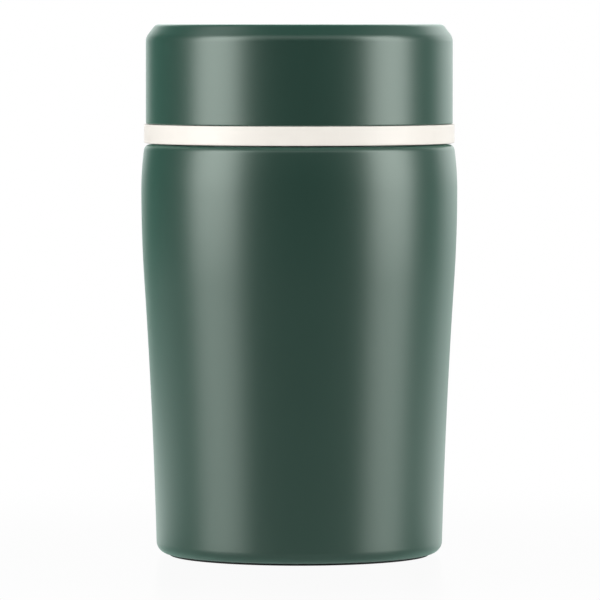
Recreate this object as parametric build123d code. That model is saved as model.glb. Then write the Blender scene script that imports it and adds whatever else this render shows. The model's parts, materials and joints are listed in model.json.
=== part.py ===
from build123d import *
import os
from math import hypot, sqrt

# Insulated food jar, in millimetres.
#
# A double-walled steel body with a vacuum between its walls carries a screw stopper.  The
# stopper is a white moulding filled with foam, with a push-button vent in its middle, and its
# lower flange is the white ring between the body and the cup.  A steel cup with a plastic
# liner screws on over the stopper.
#
# +Z is up.  The origin is the centre of the face that the jar stands on.  Nearly every piece
# is a half section, drawn as (radius, level) and turned about Z.  A "level" is a height above
# the table, a "height" or "depth" is the size of one feature.

# ---------------------------------------------------------------- steel body
mouth_radius = 37.5         # clear bore of the neck
inner_wall = 0.4            # food side steel
outer_wall = 0.5            # painted steel
neck_vacuum = 1.8           # gap between the walls in the neck
body_vacuum = 4.6           # the same, in the body
floor_vacuum = 8.0          # the same, under the inner floor
body_height = 123.55        # table to the flat shoulder
neck_height = 15.95         # shoulder to the rim
shoulder_bend = 1.75        # roundings of the painted steel
foot_bend = 3.6
bevel_share = 0.8           # bevel inside a bend, over the bend's inside radius
rim_bevel = 0.35            # inner edge of the mouth
bulge_swell = 1.03          # the flank is widest this much outside the shoulder
bulge_drop = 13.55          # and this far below it
waist_taper = 0.91          # from the widest place in to where the flank turns concave
waist_drop = 27.7
foot_taper = 3.64           # from there in to the foot
shoulder_inset = 0.18       # shoulder inside the stopper's ring
throat_margin = 3.0         # straight bore below the stopper
flare_height = 8.0          # from the bore out to the full inside width
floor_bend = 10.0           # inside corner of the food vessel
weld_gap = 0.02             # between two steel pieces joined by a weld

# ---------------------------------------------------------------- underside
pad_foot = 0.6              # pad stands proud of the steel
pad_margin = 0.2
rim_band = 2.3              # flat steel rim hidden by the pad
flange_height = 4.0         # turned-in edge that holds the base plate
plate_recess = 1.4          # rim to the base plate
plate_wall = 0.6
dimple_radius = 4.6         # pocket of the evacuation hole
dimple_depth = 1.2
dimple_slope = 0.8
evacuation_hole = 0.8
bead_margin = 0.5
pad_fit = 0.15

# ---------------------------------------------------------------- in the vacuum
foil_gap = 0.3
foil_wall = 0.15
getter_radius = 4.0
getter_height = 2.4
clip_wall = 0.3
clip_width = 4.0
clip_foot = 3.0
getter_fit = 0.05

# ---------------------------------------------------------------- stopper
neck_thread_room = 1.4      # radial room for the neck's screw thread
skirt_wall = 1.4
cup_thread_room = 1.3       # radial room for the cup's screw thread
ring_gap = 0.45             # dark line between ring and shoulder
ring_height = 5.7
ring_web = 1.8
hoop_wall = 1.6
ring_step = 0.55            # ring stands proud of the cup
ring_lower_bevel = 0.8
ring_upper_bevel = 0.3
ring_ribs = 24
rib_wall = 1.0
rib_rise = 0.6
rib_root = 0.3
deck_wall = 2.0
dish_depth = 6.8            # deck to the top edge of the stopper
dish_bevel = 1.6
edge_bevel = 0.4
gasket_wall = 1.6
gasket_overhang = 0.4
seal_gap = 0.05             # free play between a seal and its seat
plug_depth = 14.5           # rim to the underside of the plug
plug_clearance = 0.9
plug_draft = 1.1
plug_wall = 1.5
plug_floor = 1.6
plug_bevel = 2.0
plug_inner_bevel = 1.0
spigot_wall = 1.4
spigot_depth = 3.0
moulding_fit = 0.1          # between mouldings that are joined

# ---------------------------------------------------------------- vent
vent_travel = 2.0
well_radius = 10.0
well_wall = 1.2
well_depth = 5.6
well_bevel = 0.5
button_clearance = 0.4
button_proud = 3.0
button_wall = 1.2
button_bevel = 0.9
button_stop = 0.4           # left under the button at the end of its travel
finger_radius = 7.0          # shallow recess for a fingertip
finger_depth = 0.7
finger_slope = 1.6
boss_radius = 2.9
boss_depth = 3.2
boss_roof = 0.3
vent_bore = 3.2
tube_wall = 1.8
stem_radius = 1.5
stem_fit = 0.03
stem_head_radius = 2.6
stem_head_height = 0.9
valve_radius = 5.8
valve_wall = 1.3
valve_lip = 0.5
valve_sleeve_radius = 2.6
valve_sleeve_height = 2.6
spring_wire = 0.6
spring_turns = 2.5
spring_gap = 0.05

# ---------------------------------------------------------------- cup
cup_wall = 0.5
cup_gap = 0.2               # cup edge above the ring
headroom = 7.8              # stopper's top edge to the cup's ceiling
bevel_width = 2.95
bevel_height = 3.85
bevel_lower_bend = 3.7
bevel_upper_bend = 2.0
cup_lip = 0.95
cup_lip_bevel = 0.3
liner_wall = 1.25
liner_fit = 0.05
liner_edge_bevel = 0.3
seal_step = 0.9             # groove for the cup's seal in the liner's edge
cup_seal_width = 1.0
cup_seal_clearance = 0.15

# ---------------------------------------------------------------- radii that follow
neck_radius = mouth_radius + inner_wall + neck_vacuum + outer_wall
skirt_radius = neck_radius + neck_thread_room
upstand_radius = skirt_radius + skirt_wall
liner_radius = upstand_radius + cup_thread_room
cup_radius = liner_radius + liner_wall + liner_fit + cup_wall
ring_radius = cup_radius + ring_step
hoop_radius = ring_radius - hoop_wall
shoulder_radius = ring_radius - shoulder_inset
bulge_radius = shoulder_radius + bulge_swell
waist_radius = bulge_radius - waist_taper
foot_radius = waist_radius - foot_taper
vessel_inset = outer_wall + body_vacuum + inner_wall
pad_radius = foot_radius - foot_bend - pad_margin
flange_radius = pad_radius - rim_band
plug_top_radius = mouth_radius - plug_clearance
plug_bottom_radius = plug_top_radius - plug_draft
plug_slope = plug_draft / (plug_depth + gasket_wall + 2 * seal_gap)
spigot_radius = plug_top_radius - plug_wall - plug_slope * spigot_depth - moulding_fit
tube_radius = vent_bore + tube_wall
well_outer_radius = well_radius + well_wall
button_radius = well_radius - button_clearance
seal_outer_radius = liner_radius + seal_step - cup_seal_clearance

# ---------------------------------------------------------------- levels that follow
steel_level = pad_foot
plate_level = steel_level + plate_recess
vessel_underside = plate_level + plate_wall + floor_vacuum
floor_level = vessel_underside + inner_wall
shoulder_level = body_height
bulge_level = shoulder_level - bulge_drop
waist_level = bulge_level - waist_drop
rim_level = shoulder_level + neck_height
deck_bottom = rim_level + gasket_wall + 2 * seal_gap
deck_top = deck_bottom + deck_wall
upstand_top = deck_top + dish_depth
plug_bottom = rim_level - plug_depth
plug_floor_level = plug_bottom + plug_floor
throat_level = plug_bottom - throat_margin
ring_bottom = shoulder_level + ring_gap
ring_top = ring_bottom + ring_height
web_bottom = ring_top - ring_web
well_floor_level = deck_top - well_depth
well_underside = well_floor_level - well_wall
button_top = deck_top + button_proud
button_ceiling = button_top - button_wall - finger_depth
cup_bottom = ring_top + cup_gap
cup_top = upstand_top + headroom + liner_wall + liner_fit + cup_wall
liner_bottom = cup_bottom + cup_wall + liner_fit


# ---------------------------------------------------------------- drawing helpers
def nearest(face, point):
    """The corner of a half section that lies nearest to a point."""
    return face.vertices().sort_by_distance(point)[0]


def bevelled(face, *bevels):
    """A half section with straight bevels at the corners nearest to the given points."""
    for point, width in bevels:
        face = face.chamfer_2d(width, width, [nearest(face, point)])
    return face


def rounded(face, *bends):
    """A half section with arcs at the corners nearest to the given points."""
    for point, radius in bends:
        face = face.fillet_2d(radius, [nearest(face, point)])
    return face


def sheet(path, wall, side):
    """Half section of sheet material: a path along one face, thickened to the other."""
    return make_face(offset(path, wall, side=side, kind=Kind.TANGENT)).face()


def section(*corners):
    """Half section of a moulding: (radius, level) corners, with a third number to bevel one."""
    outline = make_face(Polyline([corner[:2] for corner in corners], close=True)).face()
    bevels = [(corner[:2], corner[2]) for corner in corners if len(corner) > 2]
    return bevelled(outline, *bevels)


def turned(face):
    """The half section turned about Z."""
    return revolve(Plane.XZ * face, Axis.Z)


def flank(inset):
    """The body's three side arcs, moved in by inset, listed from the shoulder to the foot."""
    shoulder = (shoulder_radius - inset, shoulder_level)
    bulge = (bulge_radius - inset, bulge_level)
    waist = (waist_radius - inset, waist_level)
    foot = (foot_radius - inset, steel_level)
    crown = TangentArc(bulge, shoulder, tangent=(0, 1))
    belly = TangentArc(bulge, waist, tangent=(0, -1))
    taper = TangentArc(waist, foot, tangent=belly % 1)
    return crown, belly, taper


def above(edge, level):
    """The part of an edge that lies above a level."""
    return split(edge, Plane((0, level), z_dir=(0, 1, 0)), keep=Keep.TOP).edge()


def lower_end(edge):
    """The (radius, level) of an edge's lower end."""
    return tuple(edge.vertices().sort_by(Axis.Y)[0])[:2]


# ---------------------------------------------------------------- steel body
def outer_shell():
    """Painted wall: neck, flat shoulder, bulged flank, rounded foot and turned-in flange."""
    neck_root = (neck_radius, shoulder_level)
    shoulder = (shoulder_radius, shoulder_level)
    foot = (foot_radius, steel_level)
    flange = (flange_radius, steel_level)
    wall = sheet(Wire([
        Line((neck_radius, rim_level - inner_wall), neck_root),
        Line(neck_root, shoulder),
        *flank(0),
        Line(foot, flange),
        Line(flange, (flange_radius, steel_level + flange_height)),
    ]), outer_wall, Side.RIGHT)
    wall = bevelled(
        wall,
        ((shoulder_radius - outer_wall, shoulder_level - outer_wall),
         bevel_share * (shoulder_bend - outer_wall)),
        ((foot_radius - outer_wall, steel_level + outer_wall),
         bevel_share * (foot_bend - outer_wall)),
    )
    return turned(rounded(wall, (shoulder, shoulder_bend), (foot, foot_bend)))


def inner_vessel():
    """Food side wall: flanged rim, straight throat, flare, flank and rounded floor."""
    _, belly, taper = flank(vessel_inset)
    wide_radius = bulge_radius - vessel_inset
    rim = (mouth_radius, rim_level)
    throat = (mouth_radius, throat_level)
    flare = (wide_radius, throat_level - flare_height)
    side = above(taper, floor_level + floor_bend)
    straight = PolarLine(
        lower_end(side), floor_bend, direction=taper % 1, length_mode=LengthMode.VERTICAL
    )
    corner = lower_end(straight)
    wall = sheet(Wire([
        Line((neck_radius, rim_level), rim),
        Line(rim, throat),
        Line(throat, flare),
        Line(flare, (wide_radius, bulge_level)),
        belly,
        side,
        straight,
        Line(corner, (0, floor_level)),
    ]), inner_wall, Side.LEFT)
    outside = (corner[0] + inner_wall, floor_level - inner_wall)
    wall = rounded(wall, (corner, floor_bend))
    wall = bevelled(wall, (rim, rim_bevel), (outside, (2 - sqrt(2)) * (floor_bend + inner_wall)))
    return turned(wall)


def base_plate():
    """Welded-in bottom with a standing flange and a pocket for the evacuation hole."""
    edge = flange_radius - weld_gap
    pocket = plate_level + dimple_depth
    path = Polyline(
        (edge, steel_level + flange_height),
        (edge, plate_level),
        (dimple_radius, plate_level),
        (dimple_radius - dimple_slope, pocket),
        (evacuation_hole, pocket),
    )
    return turned(sheet(path, plate_wall, Side.RIGHT))


def seal_bead():
    """Bead that closes the evacuation hole from inside its pocket."""
    bead_radius = dimple_radius - dimple_slope - bead_margin
    stalk_radius = evacuation_hole - weld_gap
    low = plate_level + seal_gap
    high = plate_level + dimple_depth - seal_gap
    return turned(section(
        (0, low),
        (bead_radius, low),
        (bead_radius, high),
        (stalk_radius, high),
        (stalk_radius, high + plate_wall),
        (0, high + plate_wall),
    ))


def base_pad():
    """Non-slip pad: a disc under the steel rim with a spigot in the base recess."""
    spigot = flange_radius - pad_fit
    return turned(section(
        (0, 0),
        (pad_radius, 0),
        (pad_radius, steel_level - seal_gap),
        (spigot, steel_level - seal_gap),
        (spigot, plate_level - seal_gap),
        (0, plate_level - seal_gap),
    ))


def heat_foil():
    """Bright foil wrapped round the inner vessel, which turns back radiant heat."""
    _, _, taper = flank(outer_wall + body_vacuum - foil_gap)
    foot = lower_end(above(taper, floor_level + floor_bend))
    waist = (waist_radius - outer_wall - body_vacuum + foil_gap, waist_level)
    return turned(sheet(Line(waist, foot), foil_wall, Side.LEFT))


def getter():
    """Pill that takes up the last gas in the vacuum, under the inner floor."""
    return Pos(0, 0, vessel_underside - getter_fit) * Cylinder(
        getter_radius, getter_height, align=(Align.CENTER, Align.CENTER, Align.MAX)
    )


def getter_clip():
    """Spot-welded strap that holds the getter against the inner floor."""
    top = vessel_underside - weld_gap
    low = top - getter_height - 2 * getter_fit
    reach = getter_radius + getter_fit
    path = Polyline(
        (-reach - clip_foot, top),
        (-reach, top),
        (-reach, low),
        (reach, low),
        (reach, top),
        (reach + clip_foot, top),
    )
    strap = Plane.XZ * sheet(path, clip_wall, Side.RIGHT)
    return extrude(strap, clip_width / 2, both=True)


# ---------------------------------------------------------------- stopper
def stopper_shell():
    """White moulding: screw skirt, grip ring, upstand for the cup, deck, well and vent tube."""
    spigot_inside = spigot_radius - spigot_wall
    shell = turned(section(
        (vent_bore, plug_floor_level),
        (tube_radius, plug_floor_level),
        (tube_radius, well_underside),
        (well_outer_radius, well_underside),
        (well_outer_radius, deck_bottom),
        (spigot_inside, deck_bottom),
        (spigot_inside, deck_bottom - spigot_depth),
        (spigot_radius, deck_bottom - spigot_depth),
        (spigot_radius, deck_bottom),
        (skirt_radius, deck_bottom),
        (skirt_radius, ring_bottom),
        (upstand_radius, ring_bottom),
        (upstand_radius, web_bottom),
        (hoop_radius, web_bottom),
        (hoop_radius, ring_bottom),
        (ring_radius, ring_bottom, ring_lower_bevel),
        (ring_radius, ring_top, ring_upper_bevel),
        (upstand_radius, ring_top),
        (upstand_radius, upstand_top, edge_bevel),
        (skirt_radius, upstand_top, edge_bevel),
        (skirt_radius, deck_top, dish_bevel),
        (well_radius, deck_top, well_bevel),
        (well_radius, well_floor_level),
        (vent_bore, well_floor_level),
    ))
    rib_length = hoop_radius - upstand_radius + 2 * rib_root
    rib_height = web_bottom - ring_bottom - rib_rise + rib_root
    rib = Box(rib_length, rib_wall, rib_height, align=(Align.MIN, Align.CENTER, Align.MIN))
    rib = Pos(upstand_radius - rib_root, 0, ring_bottom + rib_rise) * rib
    return shell + [Rot(0, 0, turn * 360 / ring_ribs) * rib for turn in range(ring_ribs)]


def stopper_plug():
    """Lower cover of the stopper, a drafted tub that hangs in the mouth."""
    return turned(section(
        (vent_bore, plug_bottom),
        (plug_bottom_radius, plug_bottom, plug_bevel),
        (plug_top_radius, deck_bottom),
        (plug_top_radius - plug_wall, deck_bottom),
        (plug_bottom_radius - plug_wall, plug_floor_level, plug_inner_bevel),
        (vent_bore, plug_floor_level),
    ))


def stopper_foam():
    """Insulation that fills the stopper round the vent well and tube."""
    low = plug_floor_level + moulding_fit
    high = deck_bottom - moulding_fit
    tube_side = tube_radius + moulding_fit
    well_side = well_outer_radius + moulding_fit
    well_low = well_underside - moulding_fit
    spigot_inside = spigot_radius - spigot_wall - moulding_fit
    return turned(section(
        (tube_side, low),
        (plug_bottom_radius - plug_wall - plug_inner_bevel, low),
        (spigot_inside, low + plug_inner_bevel),
        (spigot_inside, high),
        (well_side, high),
        (well_side, well_low),
        (tube_side, well_low),
    ))


def mouth_gasket():
    """Silicone ring between the stopper's deck and the steel rim."""
    inner = (plug_top_radius + mouth_radius) / 2
    outer = skirt_radius - gasket_overhang
    low = rim_level + seal_gap
    high = low + gasket_wall
    return turned(section((inner, low), (outer, low), (outer, high), (inner, high)))


# ---------------------------------------------------------------- vent
def vent_button():
    """Push button: recessed top, skirt in the well and a boss that grips the stem."""
    skirt_bottom = well_floor_level + vent_travel + button_stop
    bore = stem_radius + stem_fit
    boss_bottom = button_ceiling - boss_depth
    return turned(section(
        (0, button_ceiling - boss_roof),
        (bore, button_ceiling - boss_roof),
        (bore, boss_bottom),
        (boss_radius, boss_bottom),
        (boss_radius, button_ceiling),
        (button_radius - button_wall, button_ceiling),
        (button_radius - button_wall, skirt_bottom),
        (button_radius, skirt_bottom),
        (button_radius, button_top, button_bevel),
        (finger_radius, button_top),
        (finger_radius - finger_slope, button_top - finger_depth),
        (0, button_top - finger_depth),
    ))


def vent_stem():
    """Rod from the button down to the valve, with a head that holds the valve."""
    head_top = plug_bottom - seal_gap - valve_wall - stem_fit
    stem_top = button_ceiling - boss_roof - stem_fit
    return turned(section(
        (0, head_top - stem_head_height),
        (stem_head_radius, head_top - stem_head_height, stem_head_height / 2),
        (stem_head_radius, head_top),
        (stem_radius, head_top),
        (stem_radius, stem_top),
        (0, stem_top),
    ))


def vent_valve():
    """Silicone mushroom that closes the vent from below."""
    bore = stem_radius + stem_fit
    seat = plug_bottom - seal_gap
    return turned(section(
        (bore, seat - valve_wall),
        (valve_sleeve_radius, seat - valve_wall),
        (valve_radius, seat - valve_lip),
        (valve_radius, seat),
        (valve_sleeve_radius, seat),
        (valve_sleeve_radius, seat + valve_sleeve_height),
        (bore, seat + valve_sleeve_height),
    ))


def vent_spring():
    """Flat-wire coil between the well's floor and the button."""
    coil_radius = (boss_radius + button_radius - button_wall) / 2
    low = well_floor_level + spring_gap + spring_wire / 2
    high = button_ceiling - spring_gap - spring_wire / 2
    path = Helix((high - low) / spring_turns, high - low, coil_radius, center=(0, 0, low))
    start = Plane(path @ 0, x_dir=(1, 0, 0), z_dir=path % 0)
    return sweep(start * Rectangle(spring_wire, spring_wire), path, is_frenet=True)


# ---------------------------------------------------------------- cup
def cup_corners(inset):
    """The two corners of the cup's bevelled edge, moved in by inset: upper, then lower."""
    slope = hypot(bevel_width, bevel_height)
    upper = cup_radius - bevel_width - inset * (slope - bevel_width) / bevel_height
    lower = cup_top - bevel_height - inset * (slope - bevel_height) / bevel_width
    return (upper, cup_top - inset), (cup_radius - inset, lower)


def cup_shell():
    """Painted steel cup, bevelled at the top and turned in at its edge."""
    upper, lower = cup_corners(0)
    edge = (cup_radius, cup_bottom)
    path = Polyline((0, cup_top), upper, lower, edge, (cup_radius - cup_lip, cup_bottom))
    wall = bevelled(sheet(path, cup_wall, Side.RIGHT), (edge, cup_lip_bevel))
    return turned(rounded(wall, (upper, bevel_upper_bend), (lower, bevel_lower_bend)))


def cup_liner():
    """White liner inside the cup, with a groove for the seal in its lower edge."""
    outside = cup_wall + liner_fit
    inside = outside + liner_wall
    upper, lower = cup_corners(outside)
    inner_upper, inner_lower = cup_corners(inside)
    wall = section(
        (0, cup_top - outside),
        upper,
        lower,
        (cup_radius - outside, liner_bottom, liner_edge_bevel),
        (liner_radius + seal_step, liner_bottom),
        (liner_radius + seal_step, liner_bottom + seal_step),
        (liner_radius, liner_bottom + seal_step, liner_edge_bevel),
        inner_lower,
        inner_upper,
        (0, cup_top - inside),
    )
    return turned(wall)


def cup_gasket():
    """Silicone ring that seals the cup on the stopper's ring."""
    inner = seal_outer_radius - cup_seal_width
    low = ring_top + seal_gap
    high = liner_bottom + seal_step - seal_gap
    return turned(section(
        (inner, low), (seal_outer_radius, low), (seal_outer_radius, high), (inner, high)
    ))


pieces = [
    outer_shell, inner_vessel, base_plate, seal_bead, base_pad, heat_foil, getter, getter_clip,
    stopper_shell, stopper_plug, stopper_foam, mouth_gasket,
    vent_button, vent_stem, vent_valve, vent_spring,
    cup_shell, cup_liner, cup_gasket,
]

os.makedirs("parts", exist_ok=True)
for piece in pieces:
    export_step(piece(), f"parts/{piece.__name__}.step")
print("height", round(cup_top, 2), "width", round(2 * bulge_radius, 2))
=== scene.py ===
import json
from functools import partial
from math import atan2, ceil, cos, hypot, pi, radians, sin, tan, tau

import bmesh
import bpy
from bpy.props import FloatProperty, FloatVectorProperty, IntProperty, PointerProperty
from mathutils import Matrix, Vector


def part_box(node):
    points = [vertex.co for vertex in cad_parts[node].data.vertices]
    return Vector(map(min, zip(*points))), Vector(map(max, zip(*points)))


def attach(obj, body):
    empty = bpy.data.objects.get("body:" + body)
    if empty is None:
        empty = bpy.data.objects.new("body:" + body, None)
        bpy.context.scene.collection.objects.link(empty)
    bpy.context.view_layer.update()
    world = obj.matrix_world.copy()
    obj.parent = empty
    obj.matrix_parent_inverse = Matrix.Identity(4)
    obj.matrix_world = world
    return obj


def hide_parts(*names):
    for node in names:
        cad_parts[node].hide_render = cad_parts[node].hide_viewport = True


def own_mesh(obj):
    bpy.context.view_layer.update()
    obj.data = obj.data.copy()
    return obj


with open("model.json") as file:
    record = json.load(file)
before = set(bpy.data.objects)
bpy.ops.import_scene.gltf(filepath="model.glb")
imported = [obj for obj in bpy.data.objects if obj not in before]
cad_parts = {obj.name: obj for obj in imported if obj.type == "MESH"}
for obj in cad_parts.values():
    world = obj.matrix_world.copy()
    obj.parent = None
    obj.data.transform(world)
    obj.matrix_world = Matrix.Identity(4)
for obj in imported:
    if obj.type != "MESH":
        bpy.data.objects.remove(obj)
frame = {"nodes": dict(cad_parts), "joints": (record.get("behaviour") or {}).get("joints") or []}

bl_info = {
    "name": "Insulated food jar",
    "version": (1, 0, 0),
    "blender": (4, 5, 0),
    "location": "3D View > Sidebar > Food jar",
    "description": "Builds the painted steel body, stopper, vent and cup of an insulated food jar",
    "category": "Object",
}

MM = 0.001
NEAR = 0.01 * MM          # two levels this close are one
ROUGHLY = 0.1 * MM        # and this close, roughly one
AXIS = 0.001 * MM         # a radius under this is the axis
POLE = 0.5 * MM           # radius of the small faces in the middle of the cup's top
ROD_POLE = 0.4 * MM       # and in the middle of the rod's ends
CLEARANCE = 0.05 * MM     # between pieces that touch
ROUND_STEP = radians(11)  # turn of an outline's direction from one point to the next
FLANK_STEPS = 24          # rows of faces on each arc of the body's side
SHARP = radians(32)       # edges that turn more than this are shaded sharp
SEGMENTS = 192            # round a turned piece
SMALL_SEGMENTS = 96       # round a turned piece of the vent
RIB_GAP_SEGMENTS = 5      # between two ribs
THREAD_ROW = 0.13 * MM    # height of a row of faces on a threaded wall
JOIN = 0.1 * MM           # between a threaded wall and the plain wall beside it
SKIRT_BEGIN = 0.2         # where the thread in the skirt begins, in turns
LINER_BEGIN = 0.1         # and the thread in the liner
COIL_STEPS = 48           # in one turn of the spring
WIRE_SIDES = 12           # round the spring's wire
CLOSED_PITCH = 1.04       # of the spring's closed turns, in wires
DISH_STEPS = 10           # rows of faces in the button's dish
COVE_FADE = (0.0, 0.4)    # how far a direction faces the front where the cove comes in
FILL_FADE = (0.3, 0.7)    # and where the fill comes in
CLIP = (0.05, 50)         # nearest and furthest that the camera sees, in metres

# name, degrees to the right and above level, metres of distance, aim, width and height, radiance
LAMPS = (
    ("left_lamp", -63.5, 0, 1.0, 0.475, 0.68, 0.95, 4.15),
    ("right_lamp", 70.2, 0, 1.0, 0.475, 0.615, 0.95, 4.25),
    ("left_top_lamp", -95, 54.7, 1.1, 0.0798, 0.45, 0.45, 0.9),
    ("right_top_lamp", 104, 50, 1.1, 0.0798, 0.45, 0.45, 0.3),
)


# ------------ sizes of the CAD model
def rings(node):
    """The (radius, level) of every vertex of a CAD node."""
    return [(hypot(v.co.x, v.co.y), v.co.z) for v in frame["nodes"][node].data.vertices]


def radii(node, level=None):
    """Smallest and largest radius of a CAD node, over all of it or at one level."""
    found = [r for r, z in rings(node) if level is None or abs(z - level) < NEAR]
    return min(found), max(found)


def heights(node, radius):
    """Lowest and highest level of a CAD node at one radius."""
    found = [z for r, z in rings(node) if abs(r - radius) < NEAR]
    return min(found), max(found)


def levels(node):
    """Lowest and highest level of a CAD node."""
    low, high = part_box(node)
    return low.z, high.z


# ------------ settings
number, count = FloatProperty, IntProperty
share = partial(FloatProperty, min=0, max=1, subtype="FACTOR")
colour = partial(FloatVectorProperty, size=3, min=0, max=1, subtype="COLOR")


def size(default, **words):
    """A length in millimetres, as a property in metres."""
    return FloatProperty(default=default * MM, precision=5, unit="LENGTH", **words)


def angle(default, **words):
    """An angle in degrees, as a property in radians."""
    return FloatProperty(default=radians(default), subtype="ANGLE", **words)


def settings(group):
    """Makes a property, named after its key, of each (kind, default, description) in a group."""
    for key, (kind, default, description) in group.__annotations__.items():
        name = key.replace("_", " ").capitalize()
        group.__annotations__[key] = kind(default=default, name=name, description=description)
    return group


@settings
class BodySizes(bpy.types.PropertyGroup):
    """Sizes of the double-walled steel body."""

    wall: (size, 0.5, "Thickness of the painted steel")
    vessel_wall: (size, 0.4, "Thickness of the food side steel")
    shoulder_gap: (size, 0.45, "Dark line between the shoulder and the ring")
    shoulder_bend: (size, 1.75, "Rounding of the shoulder's edge")
    foot_bend: (size, 3.6, "Rounding of the foot")
    neck_bend: (size, 0.7, "Rounding between the neck and the shoulder")
    bulge_swell: (size, 1.03, "Widest place outside the shoulder")
    bulge_drop: (size, 13.55, "Widest place below the shoulder")
    waist_taper: (size, 0.91, "From the widest place in to where the flank turns")
    waist_drop: (size, 27.7, "From the widest place down to where the flank turns")
    foot_taper: (size, 3.64, "From there in to the foot")
    vacuum: (size, 4.6, "Gap between the walls")
    throat_margin: (size, 3.0, "Straight bore below the stopper")
    flare_height: (size, 8.0, "From the bore out to the full inside width")
    flare_bend: (size, 5.0, "Rounding at both ends of the flare")
    floor_bend: (size, 10.0, "Rounding of the food vessel's floor")
    rim_bend: (size, 0.35, "Rounding of the rim's inner edge")
    pad_edge: (size, 0.25, "Rounding of the pad's edge")
    groove_width: (size, 0.8, "Width of the grooves under the pad")
    groove_depth: (size, 0.3, "Depth of the grooves under the pad")
    groove_pitch: (size, 2.6, "From one groove to the next")
    grooves: (count, 3, "Rings moulded under the pad")
    pad_pocket: (size, 14.0, "Radius of the shallow pocket under the pad")


@settings
class StopperSizes(bpy.types.PropertyGroup):
    """Sizes of the stopper's mouldings."""

    skirt_wall: (size, 1.4, "Thickness of the screw skirt and upstand")
    hoop_wall: (size, 1.6, "Thickness of the grip ring")
    ring_web: (size, 1.8, "Thickness of the web above the ribs")
    deck_wall: (size, 2.0, "Thickness of the deck")
    dish_bend: (size, 1.8, "Rounding between deck and upstand")
    edge_bend: (size, 0.45, "Rounding of the upper edge")
    ring_lower_bend: (size, 0.45, "Rounding of the ring's lower edge")
    ring_upper_bend: (size, 0.3, "Rounding of the ring's upper edge")
    well_radius: (size, 10.0, "Radius of the vent well")
    well_wall: (size, 1.2, "Thickness of the well")
    well_depth: (size, 5.6, "Depth of the well below the deck")
    tube_wall: (size, 1.8, "Thickness of the vent tube")
    spigot_wall: (size, 1.4, "Thickness of the spigot that holds the plug")
    spigot_depth: (size, 3.0, "Height of the spigot")
    plug_wall: (size, 1.5, "Thickness of the plug's side")
    plug_floor: (size, 1.6, "Thickness of the plug's floor")
    plug_bend: (size, 2.4, "Rounding of the plug's lower edge")
    rib_wall: (size, 1.0, "Thickness of the ribs in the ring")
    rib_rise: (size, 0.6, "Ribs above the ring's lower edge")
    rib_slope: (size, 0.12, "Draft of the ribs")
    ribs: (count, 24, "Ribs round the ring's groove")


@settings
class VentSizes(bpy.types.PropertyGroup):
    """Sizes of the push-button vent."""

    button_wall: (size, 1.2, "Thickness of the button's skirt")
    button_bend: (size, 0.9, "Rounding of the button's edge")
    finger_radius: (size, 7.0, "Radius of the fingertip recess")
    finger_depth: (size, 0.7, "Depth of the fingertip recess")
    boss_radius: (size, 2.9, "Radius of the boss that grips the stem")
    boss_depth: (size, 3.2, "Height of the boss")
    boss_roof: (size, 0.3, "Stem's hole below the button's ceiling")
    stem_radius: (size, 1.5, "Radius of the stem")
    stem_head: (size, 0.9, "Height of the stem's head")
    wire: (size, 0.6, "Diameter of the spring wire")
    active_turns: (number, 2.5, "Open turns")
    end_turns: (number, 0.75, "Closed turns at each end")
    lip: (size, 0.45, "Thickness of the valve's lip")


@settings
class CupSizes(bpy.types.PropertyGroup):
    """Sizes of the cup that screws on over the stopper."""

    wall: (size, 0.5, "Thickness of the painted steel")
    bevel_width: (size, 2.95, "Bevel at the top, measured across")
    bevel_height: (size, 3.85, "Bevel at the top, measured down")
    lower_bend: (size, 3.7, "Rounding between the side and the bevel")
    upper_bend: (size, 2.0, "Rounding between the bevel and the top")
    lip: (size, 0.95, "Turned-in edge")
    lip_bend: (size, 0.25, "Rounding of the turned-in edge")
    liner_wall: (size, 1.25, "Thickness of the plastic liner")
    liner_fit: (size, 0.05, "Gap between the steel and the liner")
    seal_step: (size, 0.9, "Groove for the cup's seal")


@settings
class ThreadSizes(bpy.types.PropertyGroup):
    """Sizes of the two-start screws on the neck and in the cup."""

    lead: (size, 8.0, "Rise in one turn")
    starts: (count, 2, "Threads side by side")
    turns: (number, 1.25, "Length of each thread in turns")
    neck_crest: (size, 1.0, "Height of the neck's thread and of the skirt's")
    cup_crest: (size, 0.9, "Height of the upstand's thread and of the liner's")
    neck_start: (size, 3.0, "Lowest thread above the shoulder")
    cup_start: (size, 4.3, "Lowest thread above the ring")
    ridge_width: (size, 2.8, "Width of a ridge at its root")
    slack: (size, 1.85, "Nut's ridge below the bolt's ridge")
    fade: (number, 0.06, "Run-out at each end, in turns")


@settings
class Finishes(bpy.types.PropertyGroup):
    """Colours and roughnesses."""

    paint: (colour, (0.0038, 0.0315, 0.0215), "Green powder coat")
    paint_roughness: (share, 0.40, "Of the paint's pigment, under its satin skin")
    paint_gloss: (share, 0.38, "Strength of the pigment's wide reflection")
    paint_sheen: (colour, (0.40, 1.0, 0.60), "Tint of the pigment's reflection")
    skin_roughness: (share, 0.34, "Of the paint's satin skin")
    paint_bloom: (share, 0.32, "Strength of the paint's soft bloom towards its edges")
    bloom_width: (share, 0.57, "Spread of the bloom in from the edges")
    bloom_tone: (colour, (0.38, 1.0, 0.76), "Tint of the bloom")
    skin_index: (number, 1.77, "Refractive index of the satin skin")
    plastic: (colour, (0.835, 0.797, 0.735), "Warm white of the stopper")
    button: (colour, (0.60, 0.62, 0.60), "Light grey of the vent button")
    seal: (colour, (0.66, 0.66, 0.63), "Milky silicone")
    pad: (colour, (0.017, 0.018, 0.018), "Black silicone")
    steel: (colour, (0.60, 0.585, 0.565), "Stainless steel")
    foil: (colour, (0.86, 0.86, 0.87), "Bright foil")
    resin: (colour, (0.30, 0.19, 0.06), "Cured seal")
    foam: (colour, (0.72, 0.62, 0.36), "Insulating foam")
    sinter: (colour, (0.20, 0.20, 0.21), "Sintered getter")


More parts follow.
